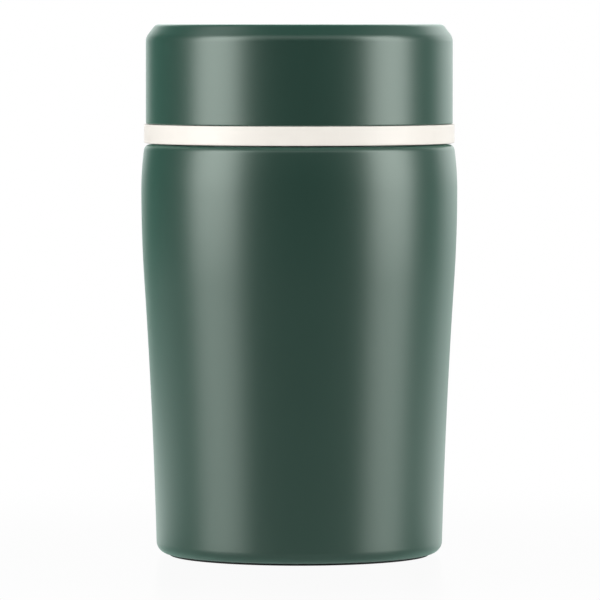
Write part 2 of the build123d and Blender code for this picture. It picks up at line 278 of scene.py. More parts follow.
@settings
class StageSettings(bpy.types.PropertyGroup):
    """Camera, backdrop, cove and floor."""

    distance: (size, 1800, "Camera from the jar's axis")
    tilt: (angle, 2.636, "Camera below level")
    lens: (number, 359.24, "Focal length in mm")
    shift: (number, 0.00117, "Sideways shift of the view")
    backdrop_turn: (angle, 14, "Mirrored backdrop, turned to the right")
    backdrop_reach: (angle, 40, "From the backdrop's middle to its edge")
    backdrop_edge: (angle, 14, "Softness of the backdrop's edge")
    backdrop_brightness: (number, 1.38, "Radiance of the backdrop")
    dim_room: (share, 0.01, "The rest of the room in reflections")
    cove_brightness: (number, 0.75, "Strip of light high in front, mirrored")
    cove_low: (angle, 28, "Where the strip starts, above level")
    cove_high: (angle, 55, "Where the strip ends, above level")
    cove_edge: (angle, 14, "Softness of the strip's edges")
    ambient: (share, 0.35, "Light from all round on matte surfaces")
    front_fill: (share, 0.28, "More of it from the front")
    floor_size: (size, 12000, "Side of the square floor")
    floor_drop: (size, 0.03, "Floor below the pad, so that the two don't coincide")
    floor_tone: (share, 0.035, "Tone of the floor in reflections")
    floor_bounce: (share, 0.95, "Tone of the floor for matte surfaces")
    floor_roughness: (share, 0.25, "Roughness of the floor")
    floor_back: (angle, 50, "Half the angle, behind, in which the mirrored floor is white")
    floor_front: (angle, 110, "Where the mirrored floor is dimmest")
    floor_dimmest: (share, 0.26, "Share of white in the mirrored floor in front")
    mirror_near: (size, 200, "Up to here the mirrored floor is white")
    mirror_far: (size, 850, "From here the mirrored floor isn't white")
    floor_white: (share, 0.95, "Share of the floor under the jar that shows white")
    shadow_near: (size, 70, "Where the floor starts to turn plain white")
    shadow_far: (size, 300, "Where the floor is plain white")


SETTINGS = {
    "jar_body": BodySizes,
    "jar_stopper": StopperSizes,
    "jar_vent": VentSizes,
    "jar_cup": CupSizes,
    "jar_thread": ThreadSizes,
    "jar_finish": Finishes,
    "jar_stage": StageSettings,
}


# ------------ outlines
def swept_arc(start, end, tangent, steps):
    """Points of the arc that leaves start along tangent and reaches end, and its last tangent."""
    start, along = Vector(start), Vector(tangent).normalized()
    chord = Vector(end) - start
    across = Vector((-along.y, along.x))
    half = atan2(chord.dot(across), chord.dot(along))
    radius = chord.length / (2 * sin(half))
    centre = start + across * radius
    points = []
    for step in range(steps + 1):
        turn = 2 * half * step / steps
        points.append(tuple(centre + along * radius * sin(turn) - across * radius * cos(turn)))
    return points, along * cos(2 * half) + across * sin(2 * half)


def beyond(points, index, step, reach):
    """The first point on one side of a corner that lies further from it than reach."""
    here = points[index]
    for count in range(1, len(points)):
        other = points[(index + step * count) % len(points)]
        if (other - here).length >= reach:
            return other
    return points[(index + step) % len(points)]


def rounded(corners):
    """An outline in which each corner with a third number is rounded by that radius."""
    points = [Vector(corner[:2]) for corner in corners]
    runs = [[tuple(point)] for point in points]
    for index, corner in enumerate(corners):
        if len(corner) < 3:
            continue
        here, radius = points[index], corner[2]
        back = (beyond(points, index, -1, radius) - here).normalized()
        on = (beyond(points, index, 1, radius) - here).normalized()
        half = back.angle(on) / 2
        length = radius / tan(half)
        centre = here + (back + on).normalized() * radius / sin(half)
        first = here + back * length - centre
        turn = (pi - 2 * half) * (1 if back.x * on.y - back.y * on.x < 0 else -1)
        steps = max(2, ceil(abs(turn) / ROUND_STEP))
        runs[index] = []
        for step in range(steps + 1):
            way = turn * step / steps
            runs[index].append((
                centre.x + first.x * cos(way) - first.y * sin(way),
                centre.y + first.x * sin(way) + first.y * cos(way),
            ))
        for side in (-1, 1):
            other = (index + side) % len(points)
            while len(corners[other]) < 3 and (points[other] - here).length < length:
                runs[other] = []
                other = (other + side) % len(points)
    return [point for run in runs for point in run]


def thickened(path, wall):
    """A closed outline of sheet metal: the path, and its copy a wall to the right of it."""
    points = [Vector(point[:2]) for point in path]
    ways = [(after - point).normalized() for point, after in zip(points, points[1:])]
    moved = []
    for index, point in enumerate(points):
        beside = ways[max(index - 1, 0):index + 1]
        way = sum(beside, Vector((0, 0))).normalized()
        moved.append(tuple(point + Vector((way.y, -way.x)) * wall / way.dot(beside[0])))
    return [tuple(point) for point in points] + moved[::-1]


def flank(body, inset):
    """The body's side from the shoulder to the foot, moved in by inset, in three runs."""
    bulge = radii("outer_shell")[1]
    shoulder_level = levels("stopper_shell")[0] - body.shoulder_gap
    bulge_level = shoulder_level - body.bulge_drop
    waist = bulge - body.waist_taper
    shoulder_at = (bulge - body.bulge_swell - inset, shoulder_level)
    bulge_at = (bulge - inset, bulge_level)
    waist_at = (waist - inset, bulge_level - body.waist_drop)
    foot_at = (waist - body.foot_taper - inset, levels("outer_shell")[0])
    crown, _ = swept_arc(bulge_at, shoulder_at, (0, 1), FLANK_STEPS // 2)
    belly, tangent = swept_arc(bulge_at, waist_at, (0, -1), FLANK_STEPS)
    taper, _ = swept_arc(waist_at, foot_at, tangent, FLANK_STEPS)
    return crown[::-1], belly[1:], taper[1:]


# ------------ threads
def clamped(value):
    """The value, kept from 0 to 1."""
    return min(max(value, 0), 1)


def eased(value):
    """A smooth rise from 0 to 1."""
    value = clamped(value)
    return value * value * (3 - 2 * value)


def screw(thread, crest, base, begin=0):
    """Relief of a right-hand thread, in a bore if its crest is below 0.

    Its first ridge is at level base when angle is 0, and begins after begin turns.
    """
    half = thread.ridge_width / 2
    end = begin + thread.turns

    def relief(angle, level):
        height = 0
        for start in range(thread.starts):
            for turn in range(ceil(end) + 1):
                along = angle / tau - start / thread.starts + turn
                off = abs(level - base - thread.lead * along) / half
                fade = min(along - begin, end - along) / thread.fade
                height = max(height, eased(1 - off) * eased(fade))
        return crest * height, 0

    return relief


def threaded(radius, low, high, relief):
    """A wall from low to high with a row of points for each row of its thread's faces."""
    count = ceil(abs(high - low) / THREAD_ROW)
    return [(radius, low + (high - low) * row / count, relief) for row in range(count + 1)]


# ------------ meshes
def even_angles(count):
    """Angles of the segments round a plain turned piece."""
    return [tau * segment / count for segment in range(count)]


ROUND = even_angles(SEGMENTS)
SMALL_ROUND = even_angles(SMALL_SEGMENTS)


def added(name, data):
    """A new object in the scene."""
    piece = bpy.data.objects.new(name, data)
    bpy.context.scene.collection.objects.link(piece)
    return piece


def finished(name, build, finishes):
    """An object from a bmesh, shaded smooth between its sharp edges."""
    bmesh.ops.recalc_face_normals(build, faces=build.faces[:])
    for face in build.faces:
        face.smooth = True
    mesh = bpy.data.meshes.new(name)
    build.to_mesh(mesh)
    build.free()
    mesh.set_sharp_from_angle(angle=SHARP)
    for finish in finishes:
        mesh.materials.append(finish_named(finish))
    piece = added(name, mesh)
    weigh = piece.modifiers.new("even_shading", "WEIGHTED_NORMAL")
    weigh.keep_sharp = True
    return piece


def turned(name, outline, *finishes, angles=ROUND, second=None):
    """A piece turned about Z.  Faces for which second is true take the second finish."""
    build = bmesh.new()
    count = len(angles)
    rows = []
    for radius, level, *relief in outline:
        if radius < AXIS:
            rows.append([build.verts.new((0, 0, level))] * count)
            continue
        row = []
        for angle in angles:
            out, up = relief[0](angle, level) if relief else (0, 0)
            reach = radius + out
            row.append(build.verts.new((reach * cos(angle), reach * sin(angle), level + up)))
        rows.append(row)
    for row, other in zip(rows, rows[1:] + rows[:1]):
        for index in range(count):
            after = (index + 1) % count
            corners = dict.fromkeys((row[index], other[index], other[after], row[after]))
            if len(corners) > 2:
                build.faces.new(tuple(corners))
    if second:
        for face in build.faces:
            middle = face.calc_center_median()
            face.material_index = int(second(hypot(middle.x, middle.y), middle.z))
    return finished(name, build, finishes)


def swept(name, centres, radius, finish):
    """A round wire along a list of points, closed at both ends."""
    build = bmesh.new()
    rows = []
    for index, centre in enumerate(centres):
        before = centres[max(index - 1, 0)]
        after = centres[min(index + 1, len(centres) - 1)]
        way = (after - before).normalized()
        across = way.cross(Vector((0, 0, 1))).normalized()
        up = across.cross(way)
        row = []
        for angle in even_angles(WIRE_SIDES):
            row.append(build.verts.new(centre + radius * (across * cos(angle) + up * sin(angle))))
        rows.append(row)
    for row, other in zip(rows, rows[1:]):
        for index in range(WIRE_SIDES):
            after = (index + 1) % WIRE_SIDES
            build.faces.new((row[index], row[after], other[after], other[index]))
    build.faces.new(rows[0])
    build.faces.new(rows[-1])
    return finished(name, build, [finish])


def placed(piece, body, slot, *nodes):
    """Ties a piece to its CAD body and hides the CAD nodes that it stands for; the finish's slot is
    not used.
    """
    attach(piece, body)
    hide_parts(*nodes)


def painted(node, finish):
    """Gives a CAD node that is kept a finish of its own."""
    mesh = frame["nodes"][node].data
    mesh.materials.clear()
    mesh.materials.append(finish_named(finish))


# ------------ shader nodes
class Signal:
    """A number that varies over a surface.  Python's operators add the Math nodes."""

    def __init__(self, nodes, socket):
        self.nodes, self.socket = nodes, socket

    def maths(self, operation, first, second):
        node = self.nodes.node("ShaderNodeMath", {"operation": operation}, {0: first, 1: second})
        return Signal(self.nodes, node.outputs[0])

    def __add__(self, other):
        return self.maths("ADD", self, other)

    def __sub__(self, other):
        return self.maths("SUBTRACT", self, other)

    def __rsub__(self, other):
        return self.maths("SUBTRACT", other, self)

    def __mul__(self, other):
        return self.maths("MULTIPLY", self, other)

    __radd__ = __add__
    __rmul__ = __mul__


class Nodes:
    """A node tree, and short ways to add to it."""

    def __init__(self, tree):
        self.tree = tree
        tree.nodes.clear()

    def node(self, kind, settings, values):
        """Adds a node, sets it up, and then gives its sockets their values or links."""
        node = self.tree.nodes.new(kind)
        for key, value in settings.items():
            setattr(node, key, value)
        self.feed(node, values)
        return node

    def feed(self, node, values):
        """Sets or links a node's inputs."""
        for key, value in values.items():
            socket = node.inputs[key]
            if isinstance(value, Signal):
                value = value.socket
            if isinstance(value, bpy.types.NodeSocket):
                self.tree.links.new(value, socket)
            elif socket.type == "RGBA":
                socket.default_value = (*value, 1)
            else:
                socket.default_value = value

    def rays(self):
        """Which rays come from the camera, a mirror or glass, and a matte surface."""
        path = self.node("ShaderNodeLightPath", {}, {}).outputs
        kinds = ("Camera", "Glossy", "Transmission", "Diffuse")
        camera, glossy, through, matte = (Signal(self, path[f"Is {kind} Ray"]) for kind in kinds)
        return camera, glossy + through, matte

    def place(self):
        """Object coordinates, in metres."""
        return self.node("ShaderNodeTexCoord", {}, {}).outputs["Object"]

    def vector(self, operation, *values, output="Vector"):
        """The result of one Vector Math node."""
        node = self.node("ShaderNodeVectorMath", {"operation": operation}, dict(enumerate(values)))
        return node.outputs[output]

    def towards(self, direction, way):
        """How far a direction faces a way, from -1 to 1."""
        return Signal(self, self.vector("DOT_PRODUCT", direction, way, output="Value"))

    def smooth(self, value, low, high):
        """0 below low, 1 above high and a smooth rise between them."""
        values = {"Value": value, "From Min": low, "From Max": high}
        node = self.node("ShaderNodeMapRange", {"interpolation_type": "SMOOTHSTEP"}, values)
        return Signal(self, node.outputs["Result"])

    def noise(self, scale, detail=2.0, stretch=None, distortion=0.0):
        """A cloud from 0 to 1 with this many features in a metre, or along each axis."""
        vector = self.vector("MULTIPLY", self.place(), stretch) if stretch else self.place()
        node = self.node("ShaderNodeTexNoise", {}, {
            "Vector": vector, "Scale": scale, "Detail": detail, "Distortion": distortion,
        })
        return Signal(self, node.outputs["Fac"])

    def cells(self, scale):
        """Distance to the nearest cell centre, with this many cells in a metre."""
        node = self.node("ShaderNodeTexVoronoi", {}, {"Vector": self.place(), "Scale": scale})
        return Signal(self, node.outputs["Distance"])

    def blend(self, factor, first, second):
        """A colour between two colours."""
        node = self.node("ShaderNodeMix", {"data_type": "RGBA"}, {0: factor, 6: first, 7: second})
        return node.outputs[2]


class Surface(Nodes):
    """A material round one Principled shader."""

    def __init__(self, name, **values):
        self.material = bpy.data.materials.new(name)
        self.material.use_nodes = True
        super().__init__(self.material.node_tree)
        values = {key.replace("_", " "): value for key, value in values.items()}
        self.shader = self.node("ShaderNodeBsdfPrincipled", {}, values)
        self.output = self.node("ShaderNodeOutputMaterial", {}, {"Surface": self.shader.outputs[0]})

    def finish(self, tone, mask, roughness, height, dark, light, depth):
        """Two shades of a tone, a roughness, and a height from 0 to 1 over a depth in mm."""
        shades = [tuple(min(part * factor, 1) for part in tone) for factor in (dark, light)]
        relief = {"Strength": 1.0, "Distance": depth * MM, "Height": height}
        self.feed(self.shader, {
            "Base Color": self.blend(mask, *shades),
            "Roughness": roughness,
            "Normal": self.node("ShaderNodeBump", {}, relief).outputs["Normal"],
        })


# ------------ finishes
def powder_coat(name, tones):
    """Green powder coat with a satin skin: the faintest cloud of tone and a fine orange peel."""
    coat = Surface(
        name, Specular_IOR_Level=tones.paint_gloss, Specular_Tint=tones.paint_sheen,
        Diffuse_Roughness=1.0, Coat_Weight=1.0, Coat_Roughness=tones.skin_roughness,
        Coat_IOR=tones.skin_index, Sheen_Weight=tones.paint_bloom,
        Sheen_Roughness=tones.bloom_width, Sheen_Tint=tones.bloom_tone,
    )
    cloud, peel, grain = coat.noise(45, 3.0), coat.noise(1500, 1.5), coat.noise(5200, 1.0)
    roughness = tones.paint_roughness - 0.03 + cloud * 0.03 + grain * 0.03
    height = peel * 0.7 + grain * 0.3
    coat.finish(tones.paint, cloud, roughness, height, dark=0.94, light=1.06, depth=0.012)


def turned_steel(name, tones, roughness=0.24):
    """Stainless steel with fine rings from turning and brushing."""
    steel = Surface(name, Metallic=1.0)
    lines = steel.noise(1.0, 3.0, stretch=(14, 14, 5200))
    bands = steel.noise(1.0, 2.0, stretch=(5, 5, 420))
    cloud = steel.noise(60, 3.0)
    roughness = roughness - 0.05 + lines * 0.10 + cloud * 0.05
    steel.finish(tones.steel, bands, roughness, lines, dark=0.93, light=1.05, depth=0.004)


def moulded(name, tones, tone, roughness=0.38):
    """Satin plastic with the fine spark texture of its mould."""
    plastic = Surface(name, IOR=1.49)
    cloud, spark, flow = plastic.noise(38, 3.0), plastic.noise(3800), plastic.noise(320)
    roughness = roughness - 0.03 + spark * 0.05 + flow * 0.02
    height = spark * 0.7 + flow * 0.3
    shade = getattr(tones, tone)
    plastic.finish(shade, cloud, roughness, height, dark=0.985, light=1.01, depth=0.006)


def rubber(name, tones, tone, roughness, grain):
    """Silicone rubber with dust-fine grain and slightly uneven sheen."""
    silicone = Surface(name, IOR=1.43)
    cloud, fine = silicone.noise(90, 3.0), silicone.noise(4200)
    roughness = roughness - 0.05 + cloud * 0.05 + fine * 0.06
    shade = getattr(tones, tone)
    silicone.finish(shade, cloud, roughness, fine, dark=0.90, light=1.12, depth=grain)


def drawn_wire(name, tones):
    """Bright drawn steel wire."""
    wire = Surface(name, Metallic=1.0)
    cloud = wire.noise(700, 3.0)
    roughness = cloud * 0.12 + 0.16
    wire.finish(tones.steel, cloud, roughness, cloud, dark=1.0, light=1.15, depth=0.003)


def crinkled_foil(name, tones):
    """Bright foil with the creases of hand wrapping."""
    foil = Surface(name, Metallic=1.0)
    creases, fine = foil.cells(180), foil.noise(420, 4.0, distortion=1.5)
    roughness, height = fine * 0.10 + 0.12, creases * 0.7 + fine * 0.3
    foil.finish(tones.foil, fine, roughness, height, dark=0.9, light=1.0, depth=0.12)


def foamed(name, tones):
    """Rigid insulating foam, with its cut cells."""
    foam = Surface(name, IOR=1.4)
    cells, cloud = foam.cells(1300), foam.noise(70, 3.0)
    mask, roughness = cells * 0.8 + cloud * 0.2, cloud * 0.1 + 0.8
    foam.finish(tones.foam, mask, roughness, cells, dark=1.1, light=0.7, depth=0.25)


def sintered(name, tones):
    """Porous grey getter metal."""
    metal = Surface(name, Metallic=0.7)
    pores, cloud = metal.cells(4200), metal.noise(900, 3.0)
    roughness = cloud * 0.2 + 0.55
    metal.finish(tones.sinter, cloud, roughness, pores, dark=0.75, light=1.3, depth=0.05)


def cured_resin(name, tones):
    """Amber resin with a smooth, slightly wavy skin."""
    resin = Surface(name, IOR=1.5)
    cloud = resin.noise(600, 3.0)
    roughness = cloud * 0.1 + 0.22
    resin.finish(tones.resin, cloud, roughness, cloud, dark=0.7, light=1.2, depth=0.05)


FINISHES = {
    "satin_green_powder_coat": powder_coat,
    "turned_steel": turned_steel,
    "satin_steel": partial(turned_steel, roughness=0.32),
    "warm_white_moulding": partial(moulded, tone="plastic"),
    "light_grey_moulding": partial(moulded, tone="button", roughness=0.30),
    "milky_silicone": partial(rubber, tone="seal", roughness=0.42, grain=0.006),
    "black_rubber": partial(rubber, tone="pad", roughness=0.62, grain=0.02),
    "drawn_wire": drawn_wire,
    "crinkled_foil": crinkled_foil,
    "rigid_foam": foamed,
    "sintered_metal": sintered,
    "cured_resin": cured_resin,
}


def finish_named(name):
    """The finish of this name, made when it is first asked for."""
    if name not in bpy.data.materials:
        FINISHES[name](name, bpy.context.scene.jar_finish)
    return bpy.data.materials[name]


# ------------ steel body
def painted_body(body, thread):
    """Painted outer wall with its neck's rolled thread, left bare above the shoulder."""
    foot_level, neck_top = levels("outer_shell")
    neck = radii("outer_shell", neck_top)[1]
    flange = radii("outer_shell", foot_level)[0]
    crown, belly, taper = flank(body, 0)
    shoulder_level = crown[0][1]
    neck_foot = shoulder_level + body.neck_bend
    side = rounded([
        (neck, neck_foot), (neck, shoulder_level, body.neck_bend),
        (*crown[0], body.shoulder_bend), *crown[1:], *belly,
        *taper[:-1], (*taper[-1], body.foot_bend), (flange, foot_level, 2 * body.wall),
        (flange, levels("base_plate")[1]),
    ])
    relief = screw(thread, thread.neck_crest, shoulder_level + thread.neck_start)
    outline = threaded(neck, neck_top, neck_foot + JOIN, relief)
    outline += thickened([(neck, neck_top), *side], body.wall)[1:]
    paint_edge = shoulder_level + CLEARANCE
    piece = turned(
        "painted_body", outline, "satin_green_powder_coat", "turned_steel",
        second=lambda radius, level: level > paint_edge or radius < flange + body.wall,
    )
    placed(piece, "jar", "green_powder_coat", "outer_shell")


def food_vessel(body):
    """Food side wall: rim, throat, flare, side and rounded floor."""
    underside, rim_level = levels("inner_vessel")
    wall = body.vessel_wall
    neck = radii("inner_vessel", rim_level)[1]
    throat_level = levels("stopper_plug")[0] - body.throat_margin
    mouth = radii("inner_vessel", throat_level)[0]
    inset = body.wall + body.vacuum + wall
    _, belly, taper = flank(body, inset)
    wide = radii("outer_shell")[1] - inset
    floor = underside + wall
    side = [point for point in taper if point[1] > floor + body.floor_bend / 2]
    path = rounded([
        (neck, rim_level, wall), (mouth, rim_level, body.rim_bend),
        (mouth, throat_level, body.flare_bend),
        (wide, throat_level - body.flare_height, body.flare_bend), *belly, *side[:-1],
        (side[-1][0], floor, body.floor_bend), (0, floor),
    ])
    path[0] = (neck, rim_level)  # the rim reaches the neck's outer side
    piece = turned("food_vessel", thickened(path[::-1], wall), "turned_steel")
    placed(piece, "jar", "brushed_steel", "inner_vessel")


def standing_pad(body):
    """Black silicone pad with shallow moulded rings underneath."""
    low, high = levels("base_pad")
    edge = radii("base_pad", low)[1]
    spigot = radii("base_pad", high)[1]
    ledge = levels("outer_shell")[0] - CLEARANCE
    depth, half = body.groove_depth, body.groove_width / 2
    grooves = []
    for ring in range(body.grooves):
        middle = edge - (body.grooves + 1 - ring) * body.groove_pitch
        for place, rise in ((-half, 0), (-half / 2, depth), (half / 2, depth), (half, 0)):
            grooves.append((middle + place, low + rise))
    outline = rounded([
        (0, low + depth), (body.pad_pocket - depth, low + depth), (body.pad_pocket, low),
        *grooves, (edge, low, body.pad_edge), (edge, ledge, 0.1 * MM),
        (spigot, ledge), (spigot, high), (0, high),
    ])
    piece = turned("standing_pad", outline, "black_rubber")
    placed(piece, "jar", "black_silicone", "base_pad")


# ------------ stopper
def rib_angles(stopper):
    """Angles round the stopper, with a pair for each side of every rib."""
    edge = radii("stopper_shell")[1]
    half = stopper.rib_wall / 2 / edge
    root = half + stopper.rib_slope / edge
    pitch = tau / stopper.ribs
    step = (pitch - 2 * root) / RIB_GAP_SEGMENTS
    angles = []
    for rib in range(stopper.ribs):
        middle = rib * pitch
        angles += [middle - root, middle - half, middle + half, middle + root]
        angles += [middle + root + step * place for place in range(1, RIB_GAP_SEGMENTS)]
    return angles


def white_stopper(stopper, thread, gap):
    """The stopper's moulding: skirt, ribbed grip ring, upstand, deck, vent well and tube."""
    low, high = levels("stopper_shell")
    ring = radii("stopper_shell")[1]
    ring_top = levels("cup_gasket")[0] - CLEARANCE
    skirt = radii("stopper_shell", low)[0]
    upstand = skirt + stopper.skirt_wall
    hoop = ring - stopper.hoop_wall
    web = ring_top - stopper.ring_web
    tub_low, deck_bottom = levels("stopper_plug")
    deck = deck_bottom + stopper.deck_wall
    well = stopper.well_radius
    well_out = well + stopper.well_wall
    well_floor = deck - stopper.well_depth
    well_bottom = well_floor - stopper.well_wall
    bore, _ = radii("stopper_shell", well_floor)
    tube = bore + stopper.tube_wall
    tube_end = tub_low + stopper.plug_floor
    spigot_end = deck_bottom - stopper.spigot_depth
    spigot = radii("stopper_shell", spigot_end)[1]
    spigot_in = spigot - stopper.spigot_wall
    edges = low + 0.5 * MM  # above the bends of the lower edges
    chamfer = 0.3 * MM
    skirt_end = deck_bottom - 2.2 * MM  # the upper end of the skirt's thread
    foot, end = ring_top + 1.2 * MM, high - 1.0 * MM  # the ends of the upstand's thread
    pitch = tau / stopper.ribs
    half = (stopper.rib_wall / 2 + stopper.rib_slope / 4) / ring

    def rib(angle, level):
        off = abs((angle + pitch / 2) % pitch - pitch / 2)
        return 0, (low + stopper.rib_rise - level if off < half else 0)

    neck_base = low - gap + thread.neck_start - thread.slack
    inner = screw(thread, -thread.neck_crest, neck_base, begin=SKIRT_BEGIN)
    outer = screw(thread, thread.cup_crest, ring_top + thread.cup_start)
    outline = rounded([
        (bore, tube_end), (tube, tube_end), (tube, well_bottom, 0.5 * MM),
        (well_out, well_bottom, 0.6 * MM), (well_out, deck_bottom, 0.5 * MM),
        (spigot_in, deck_bottom, 0.4 * MM), (spigot_in, spigot_end),
        (spigot, spigot_end, 0.3 * MM), (spigot, deck_bottom), (skirt - chamfer, deck_bottom),
        (skirt, deck_bottom - chamfer),
    ])
    outline += threaded(skirt, skirt_end, edges, inner)
    outline += rounded([
        (skirt, edges - JOIN), (skirt, low, 0.25 * MM), (upstand, low, 0.25 * MM),
        (upstand, edges),
    ])
    outline += [(upstand, web, rib), (hoop, web, rib)]
    outline += rounded([
        (hoop, edges), (hoop, low, 0.25 * MM), (ring, low, stopper.ring_lower_bend),
        (ring, ring_top, stopper.ring_upper_bend), (upstand, ring_top, 0.3 * MM),
        (upstand, foot - 2 * JOIN),
    ])
    outline += threaded(upstand, foot, end, outer)
    outline += rounded([
        (upstand, end + 2 * JOIN), (upstand, high, stopper.edge_bend),
        (skirt, high, stopper.edge_bend), (skirt, deck, stopper.dish_bend),
        (well, deck, 0.5 * MM), (well, well_floor, 0.4 * MM), (bore, well_floor, 0.25 * MM),
        (bore, well_floor - 1.0 * MM),
    ])
    angles = rib_angles(stopper)
    piece = turned("white_stopper", outline, "warm_white_moulding", angles=angles)
    placed(piece, "stopper", "white_plastic", "stopper_shell")


def stopper_tub(stopper):
    """Lower cover of the stopper, with its draft and rounded lower edge."""
    low, high = levels("stopper_plug")
    bore, _ = radii("stopper_plug", low)
    top = radii("stopper_plug", high)[1]
    bend_end = low + 2.0 * MM
    near = [(r, z) for r, z in rings("stopper_plug") if abs(z - bend_end) < ROUGHLY]
    side, level = max(near)
    bottom = top - (top - side) * (high - low) / (high - level)
    wall, floor = stopper.plug_wall, stopper.plug_floor
    outline = rounded([
        (bore, low, 0.2 * MM), (bottom, low, stopper.plug_bend), (top, high, 0.2 * MM),
        (top - wall, high, 0.2 * MM), (bottom - wall, low + floor, 1.2 * MM), (bore, low + floor),
    ])
    piece = turned("stopper_tub", outline, "warm_white_moulding")
    placed(piece, "stopper", "white_plastic", "stopper_plug")


def foam_fill():
    """Foam between the stopper's mouldings."""
    low, high = levels("stopper_foam")
    inner, _ = radii("stopper_foam", low)
    well, outer = radii("stopper_foam", high)
    well_low, _ = heights("stopper_foam", well)
    chamfer = 1.0 * MM
    outline = rounded([
        (inner, low, 0.3 * MM), (outer - chamfer, low, 0.6 * MM),
        (outer, low + chamfer, 0.6 * MM), (outer, high, 0.4 * MM), (well, high, 0.4 * MM),
        (well, well_low, 0.5 * MM), (inner, well_low, 0.4 * MM),
    ])
    piece = turned("foam_fill", outline, "rigid_foam")
    placed(piece, "stopper", "foam", "stopper_foam")


def seal_ring(name, node, body, bend):
    """A silicone ring with rounded corners."""
    low, high = levels(node)
    inner, outer = radii(node)
    corners = ((inner, low), (outer, low), (outer, high), (inner, high))
    piece = turned(name, rounded([(*corner, bend) for corner in corners]), "milky_silicone")
    placed(piece, body, "clear_silicone", node)


# ------------ vent
def push_button(vent):
    """Vent button: dished top, skirt and the boss that grips the stem."""
    low, high = levels("vent_button")
    edge = radii("vent_button")[1]
    ceiling = high - vent.button_wall - vent.finger_depth
    boss, boss_end = vent.boss_radius, ceiling - vent.boss_depth
    bore, _ = radii("vent_button", boss_end)
    skirt = edge - vent.button_wall
    roof = ceiling - vent.boss_roof
    finger = vent.finger_radius
    dish, _ = swept_arc((0, high - vent.finger_depth), (finger, high), (1, 0), DISH_STEPS)
    outline = [(0, roof)] + rounded([
        (bore, roof), (bore, boss_end, 0.15 * MM), (boss, boss_end, 0.25 * MM),
        (boss, ceiling, 0.4 * MM), (skirt, ceiling, 0.5 * MM), (skirt, low, 0.3 * MM),
        (edge, low, 0.3 * MM), (edge, high, vent.button_bend), (finger, high, 0.35 * MM),
        dish[-2],
    ])[:-1] + dish[-2::-1]
    piece = turned("push_button", outline, "light_grey_moulding", angles=SMALL_ROUND)
    placed(piece, "vent", "button_plastic", "vent_button")


def vent_rod(vent):
    """Steel rod with a rounded head."""
    low, high = levels("vent_stem")
    head = radii("vent_stem")[1]
    stem, neck = vent.stem_radius, low + vent.stem_head
    outline = [(0, low)] + rounded([
        (ROD_POLE, low), (head, low, 0.4 * MM), (head, neck, 0.2 * MM),
        (stem, neck, 0.1 * MM), (stem, high, 0.3 * MM), (ROD_POLE, high),
    ]) + [(0, high)]
    piece = turned("vent_rod", outline, "drawn_wire", angles=SMALL_ROUND)
    placed(piece, "vent", "pin_steel", "vent_stem")


def vent_flap(vent):
    """Silicone mushroom with a thin lip."""
    low, high = levels("vent_valve")
    lip = radii("vent_valve")[1]
    bore, sleeve = radii("vent_valve", high)
    _, seat = heights("vent_valve", lip)
    outline = rounded([
        (bore, low, 0.1 * MM), (sleeve, low, 0.5 * MM), (lip, seat - vent.lip, 0.2 * MM),
        (lip, seat, 0.15 * MM), (sleeve, seat, 0.3 * MM), (sleeve, high, 0.25 * MM),
        (bore, high, 0.15 * MM),
    ])
    piece = turned("vent_flap", outline, "milky_silicone", angles=SMALL_ROUND)
    placed(piece, "vent", "clear_silicone", "vent_valve")


def return_spring(vent):
    """Round-wire coil with closed ends, built at its rest length; the real coil shortens as the
    button goes down, but this mesh stays as built.
    """
    low, high = levels("vent_spring")
    coil = sum(radii("vent_spring")) / 2
    closed, wire = vent.end_turns, vent.wire
    total = vent.active_turns + 2 * closed
    closed_rise = closed * wire * CLOSED_PITCH
    open_rise = high - low - wire - 2 * closed_rise
    centres = []
    for step in range(int(total * COIL_STEPS) + 1):
        turn = step / COIL_STEPS
        ends = clamped(turn / closed) + clamped((turn + closed - total) / closed)
        rise = closed_rise * ends + open_rise * clamped((turn - closed) / vent.active_turns)
        around = tau * turn
        centres.append(Vector((coil * cos(around), coil * sin(around), low + wire / 2 + rise)))
    piece = swept("return_spring", centres, wire / 2, "drawn_wire")
    placed(piece, "stopper", "pin_steel", "vent_spring")
    travel = next(j for j in frame["joints"] if j["name"] == "vent_press")["range_m"][1]
    keep = 1 - travel / (high - low)
    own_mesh(piece)


# ------------ cup
def cup_corners(cup, inset):
    """The two corners of the cup's bevelled edge, moved in by inset: upper, then lower."""
    top = levels("cup_shell")[1]
    edge = radii("cup_shell")[1]
    width, height = cup.bevel_width, cup.bevel_height
    slope = hypot(width, height)
    upper = edge - width - inset * (slope - width) / height
    lower = top - height - inset * (slope - height) / width
    return (upper, top - inset), (edge - inset, lower)


def painted_cup(cup):
    """Painted steel cup with a bevelled top and a rolled lower edge."""
    low, top = levels("cup_shell")
    edge = radii("cup_shell")[1]
    upper, lower = cup_corners(cup, 0)
    path = [(0, top)] + rounded([
        (POLE, top), (*upper, cup.upper_bend), (*lower, cup.lower_bend),
        (edge, low, cup.lip_bend), (edge - cup.lip, low),
    ])
    piece = turned("painted_cup", thickened(path, cup.wall), "satin_green_powder_coat")
    placed(piece, "cup", "green_powder_coat", "cup_shell")


